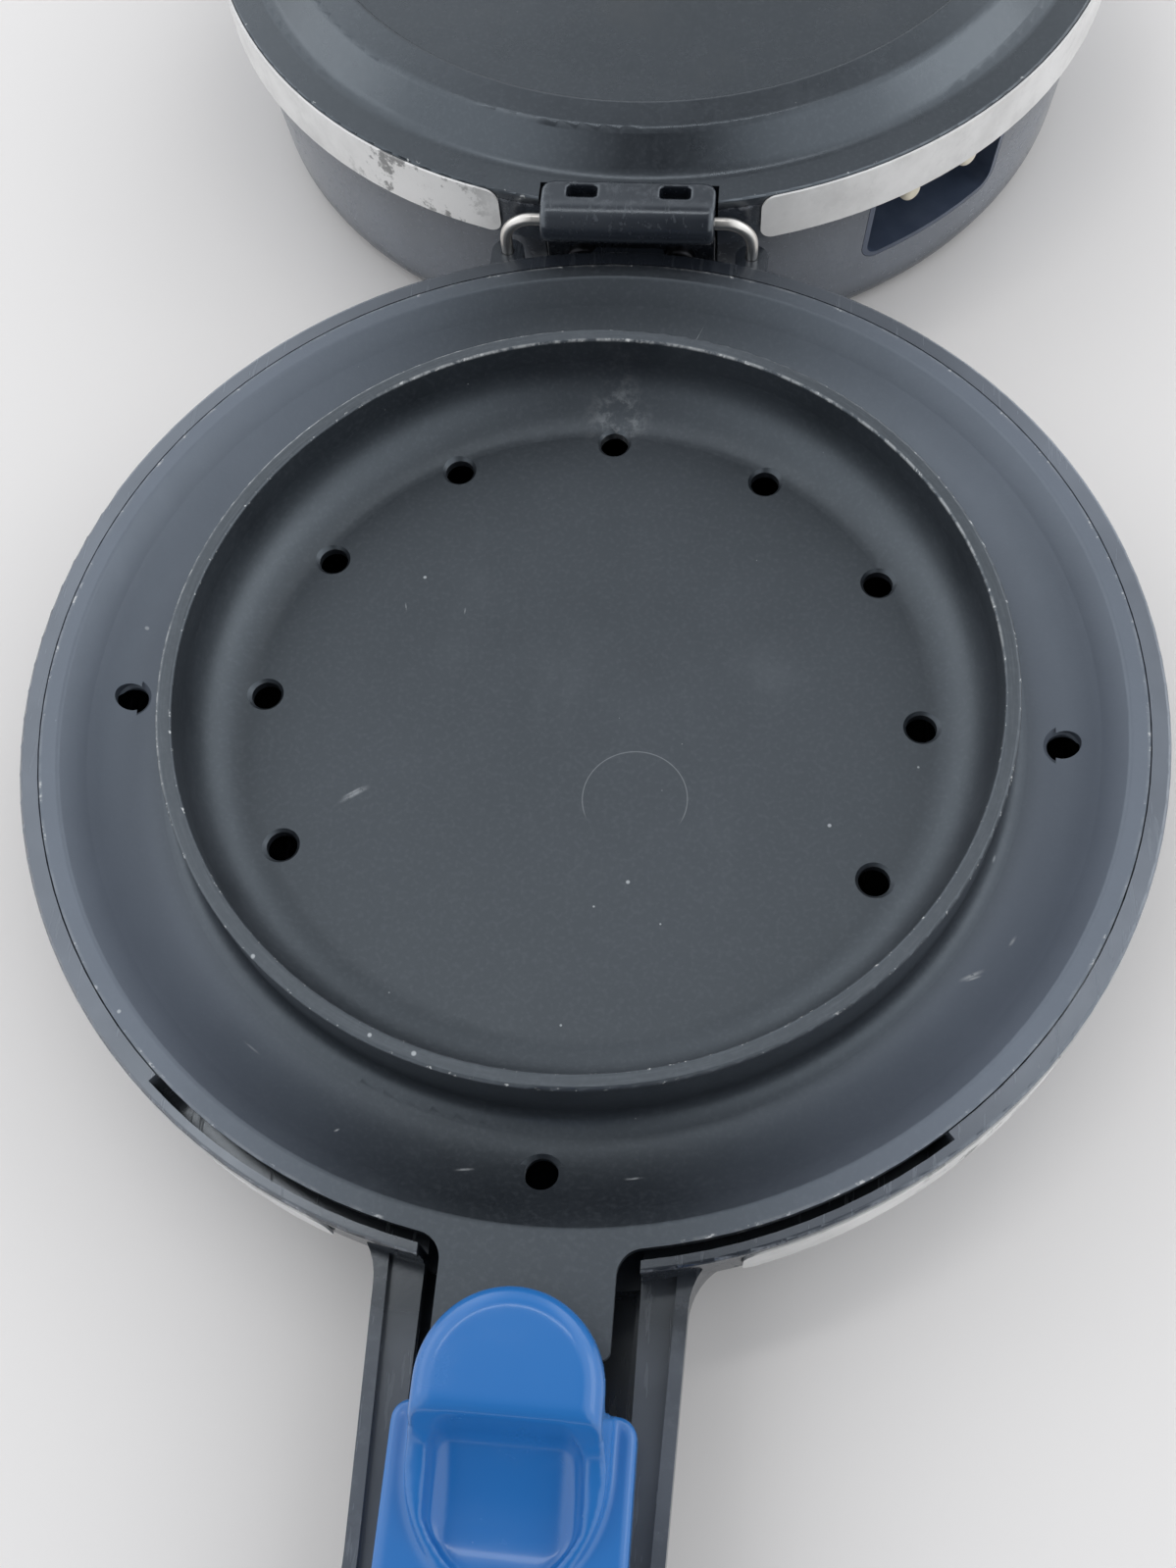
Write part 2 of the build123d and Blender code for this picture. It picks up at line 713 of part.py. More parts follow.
def head_envelope():
    """The head's outside as one closed form."""
    foot = head_wall_foot_radius
    return turned([(0, -head_height + head_dish_depth, 0),
                   (head_dish_radius - head_dish_depth, -head_height + head_dish_depth, 0),
                   (head_dish_radius, -head_height, 0), (foot, -head_height, head_edge_round),
                   (head_wall_top_radius, -head_step_z, 0), (band_seat_radius, -head_step_z, 0),
                   (band_seat_radius, -plate_flange - plate_seat_gap, 0),
                   (0, -plate_flange - plate_seat_gap, 0)])


def head_shell():
    """Housing of the head, with the hinge boss, the catch pocket, the inlet window and three posts."""
    top = -plate_flange - plate_seat_gap
    rim_inside = band_seat_radius - head_rim_width
    inside = turned([(0, head_floor_z, 0),
                     (head_wall_foot_radius - head_wall, head_floor_z, head_edge_round - 1),
                     (head_wall_top_radius - head_wall, -head_step_z - 1, 0),
                     (rim_inside, -head_step_z + 4, 0), (rim_inside, 1, 0), (0, 1, 0)])
    shell = head_envelope() - inside
    boss_low = head_boss_low()
    boss = block(-boss_width / 2, boss_width / 2, notch_y - 2, notch_y + boss_thickness, boss_low, top)
    shell += boss & head_envelope()
    shell += pocket_block(top)
    for angle in post_angles:
        x, y = post_place(angle)
        shell += rod(post_radius, head_floor_z - 1, -post_top, x, y)
    notch_low = boss_low + boss_margin - 1
    shell -= block(-notch_half_width, notch_half_width, -rim_radius - 1, notch_y, notch_low, 1)
    for side in (-1, 1):
        shell -= rod_along_y(hinge_screw_radius + screw_fit, notch_y - 1, notch_y + hinge_screw_length,
                             side * hinge_screw_spacing / 2, axis_height - hinge_screw_drop - head_z)
    shell -= catch_pocket()
    shell -= to_inlet(guard_outside(guard_fit))
    for angle in post_angles:
        x, y = post_place(angle)
        shell -= rod(plate_screw_radius + 0.2, -head_height - 1, 0, x, y)
        shell -= rod(plate_screw_head_radius + 0.2, -head_height - 1, screw_seat_z(), x, y)
    return shell


def head_boss_low():
    return axis_height - bracket_drop - head_z - boss_margin


def post_place(angle):
    x, y = around(180 - angle, post_circle)
    return x, y


def screw_seat_z():
    return -head_height + plate_screw_head_height + 0.4


def pocket_levels():
    """Lowest and highest the latch's nose can be in the head's frame, with room round it."""
    shallow = -(nose_under - closed_head_z) + pocket_clearance
    deep = -(nose_top - closed_head_z + float_travel) - pocket_clearance
    return deep, shallow


def pocket_floor():
    return nose_reach - latch_travel - pocket_clearance


def pocket_block(top):
    """Thickening behind the catch pocket."""
    deep, shallow = pocket_levels()
    half = nose_base_width / 2 + pocket_side_clearance + pocket_wall
    body = block(-half, half, pocket_floor() - pocket_wall, rim_radius, deep - pocket_wall, top)
    return body & head_envelope()


def catch_pocket():
    """Pocket in the front of the head that the latch's nose slides into."""
    deep, shallow = pocket_levels()
    half = nose_base_width / 2 + pocket_side_clearance
    return block(-half, half, pocket_floor(), rim_radius + 5, deep, shallow)


def head_trim_band():
    half = nose_base_width / 2 + pocket_side_clearance + pocket_band_margin
    return trim_band(-head_band_drop, -head_band_bottom, [(-1, head_band_gap), (1, half)])


def plate_top():
    """Upper surface of the cooking plate, from the centre out to the rim."""
    ridge_low = plate_ridge_height - plate_ridge_slope
    return [(0, -well_depth, 0), (plate_ridge_inner, -well_depth, well_round),
            (plate_ridge_inner, plate_ridge_height, plate_lip_round),
            (plate_ridge_outer, ridge_low, plate_ridge_round), (plate_flange_inner, 0, plate_cove_round),
            (band_seat_radius, 0, 0.4)]


def head_plate():
    """Cast cooking plate: flange on the rim, raised ridge, and the sunk round cooking face."""
    ridge_low = plate_ridge_height - plate_ridge_slope
    slope = atan2(ridge_low, plate_flange_inner - plate_ridge_outer)
    shift = plate_metal * tan(slope / 2)
    wall_under = plate_flange_inner - plate_flange * tan(slope / 2)
    low = -plate_flange
    body = turned(plate_top() + [(band_seat_radius, low, 0), (wall_under, low, 1.0),
                                 (plate_ridge_outer - shift * 0.6, ridge_low - plate_metal, 1.0),
                                 (plate_ridge_inner + plate_metal, ridge_low - plate_metal, 0.6),
                                 (plate_ridge_inner + plate_metal, well_under_z, 1.5),
                                 (0, well_under_z, 0)])
    under_top = turned(plate_top() + [(band_seat_radius, -head_height, 0), (0, -head_height, 0)])
    for angle in post_angles:
        x, y = post_place(angle)
        body += rod(post_radius, -post_top + contact_gap, plate_ridge_height, x, y) & under_top
        body -= rod(plate_screw_radius + screw_fit, -post_top - 1, plate_screw_top(), x, y)
    for angle in clamp_post_angles:
        x, y = clamp_post_place(angle)
        body += rod(clamp_post_radius, clamp_top_z + contact_gap, well_under_z + 1, x, y)
        body -= rod(clamp_screw_radius + screw_fit, clamp_top_z - 1,
                    clamp_top_z + clamp_screw_bite + contact_gap, x, y)
    post_low = well_under_z - cutout_post_height
    screw_end = post_low + cutout_screw_bite + contact_gap
    for side in (-1, 1):
        x = side * cutout_post_spacing / 2
        body += rod(cutout_post_radius, post_low, well_under_z + 1, x, 0)
        body -= rod(cutout_screw_radius + screw_fit, post_low - 1, screw_end, x, 0)
    return body - block(-notch_half_width, notch_half_width, -rim_radius - bracket_drop, notch_y,
                        -head_height, head_height)


def plate_screw_top():
    return -post_top + plate_screw_bite


def clamp_post_place(angle):
    return around(180 - angle - inlet_angle, clamp_post_circle)


def to_inlet(shape):
    """Turns a piece drawn towards -Y to where the inlet is."""
    return Rot(0, 0, inlet_angle) * shape


def heating_element():
    """Sheathed tube in an open ring, with two stubs that carry its terminals."""
    ring = Torus(element_circle, element_radius)
    spread = element_circle * 2
    wedge = make_face(Polyline((0, 0), (spread * tan(radians(element_half_gap)), -spread),
                               (-spread * tan(radians(element_half_gap)), -spread),
                               close=True).edges())
    ring -= slab(wedge, -element_radius - 1, element_radius + 1)
    body = Pos(0, 0, element_z) * ring
    for x, y in stub_places():
        body += Pos(x, y, element_z) * Sphere(element_radius)
        body += rod(element_radius, element_z - element_stub, element_z, x, y)
        body += rod(terminal_radius, terminal_low_z, element_z, x, y)
    return to_inlet(body)


def stub_places():
    """Both ends of the element, drawn towards -Y."""
    return [(side * element_circle * sin(radians(element_half_gap)),
             -element_circle * cos(radians(element_half_gap))) for side in (-1, 1)]


def element_clamp():
    """Steel disc that presses the element to the plate."""
    low, high = clamp_under_z - 1, clamp_top_z + 1
    disc = rod(clamp_outer, clamp_under_z, clamp_top_z) - rod(clamp_inner, low, high)
    for x, y in stub_places():
        disc -= to_inlet(rod(element_radius + clamp_stub_gap, low, high, x, y))
    for angle in clamp_post_angles:
        x, y = clamp_post_place(angle)
        disc -= rod(clamp_screw_radius + screw_fit, low, high, x, y)
    return disc


def clamp_screws():
    one = screw(clamp_screw_radius, clamp_screw_head_radius, clamp_screw_head_height,
                clamp_thickness + clamp_screw_bite)
    return [Pos(*clamp_post_place(angle), clamp_under_z) * one for angle in clamp_post_angles]


def thermal_cutout():
    """Round thermostat against the plate, on a strap with two screw tabs and two blades."""
    top = well_under_z - contact_gap
    low = top - cutout_height
    body = rod(cutout_radius, low, top)
    tab_top = well_under_z - cutout_post_height - contact_gap
    reach = cutout_post_spacing / 2 + cutout_post_radius
    plan = RectangleRounded(2 * reach, cutout_tab_width, cutout_tab_width * 0.4)
    body += slab(plan, tab_top - cutout_tab_thickness, tab_top)
    for side in (-1, 1):
        body -= rod(cutout_screw_radius + screw_fit, low, top, side * cutout_post_spacing / 2, 0)
    for x, y in blade_places():
        body += rod(cutout_blade_radius, terminal_low_z, low + 1, x, y)
    return body


def blade_places():
    """The thermostat's two blades, one towards the inlet."""
    spot = to_inlet(Pos(0, -cutout_blade_spacing / 2, 0)).position
    return [(spot.X, spot.Y), (-spot.X, -spot.Y)]


def cutout_screws():
    one = screw(cutout_screw_radius, cutout_screw_head_radius, cutout_screw_head_height,
                cutout_tab_thickness + cutout_screw_bite)
    z = well_under_z - cutout_post_height - contact_gap - cutout_tab_thickness
    return [Pos(side * cutout_post_spacing / 2, 0, z) * one for side in (-1, 1)]


def heat_shield():
    """Thin dish between the hot parts and the insulation."""
    low = pad_top_z + contact_gap
    edge = shield_radius - shield_thickness
    return turned([(0, low, 0), (shield_radius, low, 1.2), (shield_radius, low + shield_lip, 0),
                   (edge, low + shield_lip, 0), (edge, low + shield_thickness, 0.6),
                   (0, low + shield_thickness, 0)])


def insulation_pad():
    low = head_floor_z + contact_gap
    return turned([(0, low, 0), (shield_radius, low, 1.5), (shield_radius, pad_top_z, 1.5),
                   (0, pad_top_z, 0)])


def plate_screws():
    seat = screw_seat_z()
    one = screw(plate_screw_radius, plate_screw_head_radius, plate_screw_head_height,
                plate_screw_top() - contact_gap - seat)
    return [Pos(*post_place(angle), seat) * one for angle in post_angles]


# Inlet, drawn towards -Y and turned to its place

def inlet_opening(grow):
    """The plug's recess, or the same grown on every side but the mouth."""
    half = inlet_width / 2 + grow
    top, low = -inlet_drop + grow, -inlet_drop - inlet_height - grow
    corner = inlet_corner + grow
    face = outline([(-half, top, 0.5), (half, top, 0.5), (half, low, corner), (-half, low, corner)])
    back = -inlet_floor_radius + grow
    depth = rim_radius + 5 + back
    return extrude(Plane.XZ.offset(-back) * face, depth)


def guard_outside(grow):
    return inlet_opening(guard_wall + grow)


def inlet_guard():
    """Moulded cup round the inlet pins, flush with the head's wall."""
    cup = guard_outside(0) - inlet_opening(0)
    for side in (-1, 1):
        cup -= rod_along_y(pin_shank_radius + screw_fit, -inlet_floor_radius - 2,
                           -inlet_floor_radius + 4, side * pin_spacing / 2, -pin_drop)
    return to_inlet(cup) & head_envelope()


def inlet_block():
    """Insulating block behind the cup that holds the pins."""
    front = -inlet_floor_radius + guard_wall + contact_gap
    half = inlet_block_width / 2
    middle = -pin_drop
    body = block(-half, half, front, -inlet_block_inner, middle - inlet_block_height / 2,
                 middle + inlet_block_height / 2)
    body = chamfer(body.edges().filter_by(Axis.Y), 1.0)
    for side in (-1, 1):
        body -= rod_along_y(pin_shank_radius + screw_fit, front - 1, -inlet_block_inner + 1,
                            side * pin_spacing / 2, -pin_drop)
    return to_inlet(body)


def terminal_pins():
    """Two inlet pins with round tips, each with a shoulder on the recess's back wall."""
    shoulder = inlet_floor_radius + pin_shoulder_gap
    pin = turned([(0, pin_inner_radius, 0), (pin_shank_radius, pin_inner_radius, 0),
                  (pin_shank_radius, shoulder, 0), (pin_radius, shoulder, 0),
                  (pin_radius, pin_tip_radius, pin_tip_round), (0, pin_tip_radius, 0)])
    pin = Rot(90, 0, 0) * pin
    return [to_inlet(Pos(side * pin_spacing / 2, 0, -pin_drop) * pin) for side in (-1, 1)]


def lead(points, radius=lead_bend):
    """Round lead through points drawn towards -Y, with every corner bent."""
    path = FilletPolyline(*points, radius=radius)
    start = Plane(origin=points[0], z_dir=Vector(*points[1]) - Vector(*points[0]))
    return to_inlet(sweep(start * Circle(lead_radius), path))


def internal_leads():
    """One lead from each pin, to the element and to the thermostat, and one between those two."""
    pin_x = pin_spacing / 2
    start_y = -pin_inner_radius + contact_gap
    turn_y = start_y + lead_setback
    (left_x, stub_y), (right_x, _) = stub_places()
    reach = terminal_radius + contact_gap
    blade_y = cutout_blade_spacing / 2
    blade_reach = cutout_blade_radius + contact_gap
    run = Vector(left_x + pin_x, stub_y - turn_y)
    stop = run * (1 - reach / run.length)
    to_element = lead([(-pin_x, start_y, -pin_drop), (-pin_x, turn_y, -pin_drop),
                       (-pin_x, turn_y, lead_z), (-pin_x + stop.X, turn_y + stop.Y, lead_z)])
    run = Vector(-pin_x, -blade_y - turn_y)
    stop = run * (1 - blade_reach / run.length)
    to_cutout = lead([(pin_x, start_y, -pin_drop), (pin_x, turn_y, -pin_drop),
                      (pin_x, turn_y, lead_z), (pin_x + stop.X, turn_y + stop.Y, lead_z)])
    turn_x = right_x * 0.62
    run = Vector(right_x - turn_x, stub_y - blade_y)
    stop = run * (1 - reach / run.length)
    between = lead([(blade_reach, blade_y, lead_z), (turn_x, blade_y, lead_z),
                    (turn_x + stop.X, blade_y + stop.Y, lead_z)], 3 * lead_bend)
    return [to_element, to_cutout, between]


# Assembly. The finished frame has its origin on the table, midway along the open object.

open_front_y = -handle_reach
open_back_y = head_y + band_inner_radius + band_thickness
to_frame = Pos(0, -(open_front_y + open_back_y) / 2, -table_z)
to_head = Pos(0, head_y, head_z)

pan_pieces = {
    "base_shell": base_shell, "base_trim_band": base_trim_band, "cooking_tray": cooking_tray,
    "base_feet": base_feet, "latch_slide": latch_slide, "latch_retainer": latch_retainer,
    "latch_screws": latch_screws, "bail_wire": bail_wire, "bail_clips": bail_clips,
    "hinge_barrel": hinge_barrel, "hinge_screws": hinge_screws,
}
head_pieces = {
    "head_shell": head_shell, "head_trim_band": head_trim_band, "head_plate": head_plate,
    "heating_element": heating_element, "element_clamp": element_clamp, "clamp_screws": clamp_screws,
    "thermal_cutout": thermal_cutout, "cutout_screws": cutout_screws, "heat_shield": heat_shield,
    "insulation_pad": insulation_pad, "plate_screws": plate_screws, "inlet_guard": inlet_guard,
    "inlet_block": inlet_block, "terminal_pins": terminal_pins, "internal_leads": internal_leads,
}

os.makedirs("parts", exist_ok=True)
for pieces, place in ((pan_pieces, to_frame), (head_pieces, to_frame * to_head)):
    for name, make in pieces.items():
        made = make()
        solids = [s for item in (made if isinstance(made, list) else [made]) for s in item.solids()]
        shape = place * (Compound(children=solids) if len(solids) > 1 else solids[0])
        export_step(shape, f"parts/{name}.step")
        print(name, len(solids), "solids")
print("origin shift along Y", round((open_front_y + open_back_y) / 2, 3), "table below the rim", -table_z)
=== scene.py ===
import json
from math import sqrt

import bpy
from mathutils import Matrix, Vector


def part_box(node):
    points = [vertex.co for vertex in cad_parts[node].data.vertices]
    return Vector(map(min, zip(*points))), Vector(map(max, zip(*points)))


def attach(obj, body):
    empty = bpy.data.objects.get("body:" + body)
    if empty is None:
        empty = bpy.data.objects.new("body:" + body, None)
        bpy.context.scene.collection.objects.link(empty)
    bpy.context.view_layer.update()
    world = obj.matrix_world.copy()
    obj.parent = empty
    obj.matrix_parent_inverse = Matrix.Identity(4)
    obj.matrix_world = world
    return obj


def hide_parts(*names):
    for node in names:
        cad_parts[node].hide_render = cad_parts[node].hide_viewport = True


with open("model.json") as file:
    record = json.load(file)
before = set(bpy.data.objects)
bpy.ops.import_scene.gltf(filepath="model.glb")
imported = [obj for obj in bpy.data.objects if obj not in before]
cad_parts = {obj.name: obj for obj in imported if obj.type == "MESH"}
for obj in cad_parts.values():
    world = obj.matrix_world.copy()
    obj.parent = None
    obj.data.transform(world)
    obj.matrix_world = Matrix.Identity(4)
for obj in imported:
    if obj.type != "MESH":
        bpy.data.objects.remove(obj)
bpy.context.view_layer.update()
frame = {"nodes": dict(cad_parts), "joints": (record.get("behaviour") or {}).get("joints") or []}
nodes = frame["nodes"]
mm = 0.001
print("frame loaded,", len(nodes), "nodes")

# The two round halves, found from the hinge's axis and the shells
hingeAxis = Vector(next(j for j in frame["joints"] if j["name"] == "head_hinge")["pos_m"])
hingeSetback = 82.9 * mm  # from the hinge's axis to the centre of either half
headRimLift = 2.6 * mm  # the head's rim plane lies this far above the axis
panCentre = Vector((0, hingeAxis.y - hingeSetback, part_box("base_shell")[1].z))
headCentre = Vector((0, hingeAxis.y + hingeSetback, hingeAxis.z + headRimLift))


# Shader tools

class Wire:
    # wraps a socket, so that shader maths reads as plain arithmetic
    def __init__(self, finish, socket):
        self.finish, self.socket = finish, socket

    def maths(self, operation, a, b=0.0):
        return self.finish.add("ShaderNodeMath", {"operation": operation}, {0: a, 1: b})

    def __add__(self, other):
        return self.maths("ADD", self, other)

    __radd__ = __add__

    def __sub__(self, other):
        return self.maths("SUBTRACT", self, other)

    def __rsub__(self, other):
        return self.maths("SUBTRACT", other, self)

    def __mul__(self, other):
        return self.maths("MULTIPLY", self, other)

    __rmul__ = __mul__

    def __pow__(self, other):
        return self.maths("POWER", self, other)

    def __abs__(self):
        return self.maths("ABSOLUTE", self)

    def ramp(self, low, high):  # 0 below low, 1 above high, smooth between
        return self.finish.add("ShaderNodeMapRange", {"interpolation_type": "SMOOTHSTEP"},
                               {"Value": self, "From Min": low, "From Max": high})

    def near(self, value, width):  # 1 at value, 0 past width from it
        return 1 - abs(self - value).ramp(0.0, width)


class Finish:
    # one material, built up node by node
    def __init__(self, name, sockets):
        self.material = bpy.data.materials.new(name)
        self.material.use_nodes = True
        self.tree = self.material.node_tree
        self.shader = self.tree.nodes["Principled BSDF"]
        self.place = self.add("ShaderNodeTexCoord", out="Object")
        self.put(sockets)

    def add(self, kind, settings=None, values=None, out=0):
        node = self.tree.nodes.new(kind)
        for name, value in (settings or {}).items():
            if name == "stops":
                self.setStops(node.color_ramp, value)
            else:
                setattr(node, name, value)
        for name, value in (values or {}).items():
            self.feed(node.inputs[name], value)
        return Wire(self, node.outputs[out])

    def setStops(self, ramp, stops):
        while len(ramp.elements) < len(stops):
            ramp.elements.new(1)
        for element, (position, level) in zip(ramp.elements, stops):
            element.position = position
            element.color = (level, level, level, 1)

    def feed(self, socket, value):
        if isinstance(value, Wire):
            self.tree.links.new(value.socket, socket)
        elif hasattr(socket.default_value, "__len__") and len(value) == 3 < len(socket.default_value):
            socket.default_value = (*value, 1)
        else:
            socket.default_value = value

    def put(self, sockets):
        for name, value in sockets.items():
            self.feed(self.shader.inputs[name], value)

    def noise(self, scale, detail=2.0, roughness=0.5, at=None):
        return self.add("ShaderNodeTexNoise", {}, {"Vector": at or self.place, "Scale": scale,
                                                   "Detail": detail, "Roughness": roughness})

    def patches(self, scale, detail, roughness, low, high, at=None):  # noise, cut off softly at both ends
        return self.noise(scale, detail, roughness, at).ramp(low, high)

    def mix(self, share, first, second):
        return self.add("ShaderNodeMix", {"data_type": "RGBA"}, {0: share, 6: first, 7: second}, 2)

    def shift(self, centre, stretch=(1, 1, 1)):
        moved = self.add("ShaderNodeVectorMath", {"operation": "SUBTRACT"}, {0: self.place, 1: centre})
        return self.add("ShaderNodeVectorMath", {"operation": "MULTIPLY"}, {0: moved, 1: stretch})

    def join(self, x, y, z=0.0):
        return self.add("ShaderNodeCombineXYZ", {}, {"X": x, "Y": y, "Z": z})

    def split(self, vector):
        parts = self.add("ShaderNodeSeparateXYZ", {}, {0: vector}).socket.node.outputs
        return [Wire(self, part) for part in parts]

    def specks(self, scale, size, rarity, at=None):  # small round dots in a few of the cells
        cells = self.add("ShaderNodeTexVoronoi", {}, {"Vector": at or self.place, "Scale": scale})
        shade = self.split(Wire(self, cells.socket.node.outputs["Color"]))[0]
        return (1 - cells.ramp(size * 0.5, size)) * shade.ramp(rarity, rarity + 0.02)

    def bump(self, height, distance, strength=1.0, over=None):
        values = {"Height": height, "Distance": distance, "Strength": strength}
        if over:
            values["Normal"] = over
        return self.add("ShaderNodeBump", {}, values)


class Backdrop(Finish):
    # the world, built with the same tools as a material
    def __init__(self, name):
        self.world = bpy.data.worlds.new(name)
        self.world.use_nodes = True
        self.tree = self.world.node_tree
        self.shader = self.tree.nodes["Background"]
        self.place = self.add("ShaderNodeTexCoord", out="Generated")


def between(wire, low, high, soft):  # 1 from low to high, fading out over soft
    return wire.ramp(low - soft, low) * (1 - wire.ramp(high, high + soft))


def markOn(x, y, start, end, width):
    # a short straight mark between two places on the x and y wires, in mm
    alongX, alongY = end[0] - start[0], end[1] - start[1]
    length = sqrt(alongX ** 2 + alongY ** 2)
    dirX, dirY = alongX / length, alongY / length
    along = (x - start[0] * mm) * dirX + (y - start[1] * mm) * dirY
    across = (x - start[0] * mm) * dirY - (y - start[1] * mm) * dirX
    return across.near(0.0, width * mm) * along.near(length / 2 * mm, length / 2 * mm)


def awayFrom(x, y, place):  # distance on the x and y wires from a place in mm
    overX, overY = x - place[0] * mm, y - place[1] * mm
    return (overX * overX + overY * overY) ** 0.5


# Finishes

coating = {
    "deep": (0.0070, 0.0085, 0.0110),
    "pale": (0.0135, 0.0152, 0.0190),
    "worn": (0.125, 0.135, 0.150),
    "bare": (0.52, 0.52, 0.51),
    "chalk": (0.42, 0.43, 0.44),
    "sheen": (0.80, 0.90, 1.00),
    "ior": 1.88,
    "roughness": 0.37,
    "cloud": (22, 4, 0.6, 0.35, 0.75),  # patches: scale, detail, roughness, and where they start and are full
    "smear": (60, 5, 0.7, 0.52, 0.78),
    "speckle": (1380.0, 2, 0.5, 0.45, 0.75),
    "wornShare": 0.10,  # of the smears and of the speckle
    "dust": [(170, 0.030, 0.92), (420, 0.045, 0.95)],  # scale, size, rarity
    "dustShare": 0.5,
    "waves": (90, 3, 0.5),  # scale, detail, roughness
    "waveDepth": 0.35,  # mm
    "waveStrength": 0.12,
    "grain": (2300.0, 3, 0.6),
    "grainDepth": 0.03,  # mm
}


def coatedCast(name, centre, grainStrength):
    # non-stick coating on cast metal: cloudy, finely grained, a little chalky, with dust and small marks
    f = Finish(name, {"IOR": coating["ior"], "Specular Tint": coating["sheen"]})
    x, y, z = f.split(f.shift(centre))
    radius = (x * x + y * y) ** 0.5
    cloud = f.patches(*coating["cloud"])
    smear = f.patches(*coating["smear"], f.shift(centre, (1.0, 0.35, 1.0)))
    colour = f.mix(cloud, coating["deep"], coating["pale"])
    colour = f.mix(smear * coating["wornShare"], colour, coating["worn"])
    colour = f.mix(f.patches(*coating["speckle"]) * coating["wornShare"], colour, coating["worn"])
    coarse, fine = coating["dust"]
    dust = f.specks(*coarse) + f.specks(*fine)
    colour = f.mix(dust * coating["dustShare"], colour, coating["chalk"])
    grain = f.noise(*coating["grain"])
    waves = f.noise(*coating["waves"])
    normal = f.bump(waves, coating["waveDepth"] * mm, coating["waveStrength"])
    normal = f.bump(grain, coating["grainDepth"] * mm, grainStrength, normal)
    roughness = coating["roughness"] + cloud * 0.06 + f.noise(300, 4, 0.6) * 0.10
    return f, x, y, z, radius, colour, roughness, normal


tray = {
    "ringInner": 58.7,  # mm, as are all the places below, from the pan's centre
    "ringOuter": 61.0,
    "ringTop": 5.8,
    "edge": 79.4,
    "edgeWidth": 0.35,
    "rubWidth": 0.30,  # of the bare edges of the ring
    "tongueStart": (68, 74),  # towards the handle, where the edge isn't rubbed
    "tongueSide": (18, 20),
    "scratches": [  # start, end, half width, strength
        ((53.5, -39.0), (57.5, -37.0), 0.40, 0.9), ((54.4, -38.9), (57.0, -37.9), 0.25, 0.9),
        ((60.3, -34.0), (61.5, -32.0), 0.30, 0.7), ((58.5, -21.5), (59.0, -20.0), 0.25, 0.6),
        ((-42.5, -54.0), (-39.5, -56.0), 0.20, 0.4), ((-11.5, -69.5), (-8.5, -69.0), 0.25, 0.6),
        ((10.5, -69.0), (13.5, -68.5), 0.22, 0.6), ((-27.8, -65.8), (-27.0, -65.2), 0.2, 0.8),
        ((-35.5, -17.5), (-30.5, -14.0), 0.50, 0.5), ((-35.0, -16.6), (-31.5, -14.2), 0.25, 0.5),
        ((-20.5, 17.0), (-20.5, 15.5), 0.14, 0.5), ((-30.0, 17.5), (-29.5, 15.5), 0.14, 0.5),
        ((10.5, 66.5), (13.5, 71.5), 0.10, 0.5),
    ],
    "specks": [  # place, radius
        ((36.0, -16.5), 0.36), ((8.0, -27.0), 0.36), ((3.5, -31.0), 0.20), ((13.0, -33.0), 0.18),
        ((48.5, -6.5), 0.22), ((0.5, -48.5), 0.22), ((-27.5, 22.0), 0.34), ((-39.5, -46.0), 0.40),
        ((-22.5, -55.5), 0.36), ((-16.5, -57.5), 0.42), ((-61.0, 26.0), 0.55), ((-64.5, 17.5), 0.45),
        ((-65.0, 13.5), 0.38), ((-69.0, 9.5), 0.40), ((-62.0, -50.0), 0.50), ((-58.0, -53.0), 0.35),
    ],
    "curl": ((8.0, -14.0), 7.6, 0.13),  # centre, radius and half width of a curled hair scratch
    "powder": ((0.5, 53.0), 7.0),  # place, radius
    "smear": ((27.5, 7.5), 9.0),
    "sideReflectionTone": (0.135, 0.154, 0.194),  # painted reflection of the side light: washed grey-blue, strongest in the trough at both sides
    "sideReflectionOut": 6,  # from the ring to where the painted reflection is full
    "sideReflectionSide": (8, 62),
    "grainStrength": 0.50,
    "streaks": (1.0, 4, 0.7, 0.45, 0.70),  # patches: scale, detail, roughness, start, full
    "chips": (900, 4, 0.7, 0.60, 0.66),
    "lines": (1.0, 4, 0.7, 0.40, 0.60),
    "edgeChips": (600, 4, 0.7, 0.58, 0.66),
    "broken": (1500, 3, 0.7, 0.28, 0.50),
    "powderPatches": (420, 5, 0.75, 0.44, 0.70),
    "smearPatches": (130, 4, 0.6, 0.35, 0.70),
    "leftSide": (-1.75, -0.35, 0.3),  # radians round the ring: from, to, fade
    "farSide": (-0.5, 1.3, 0.3),
}


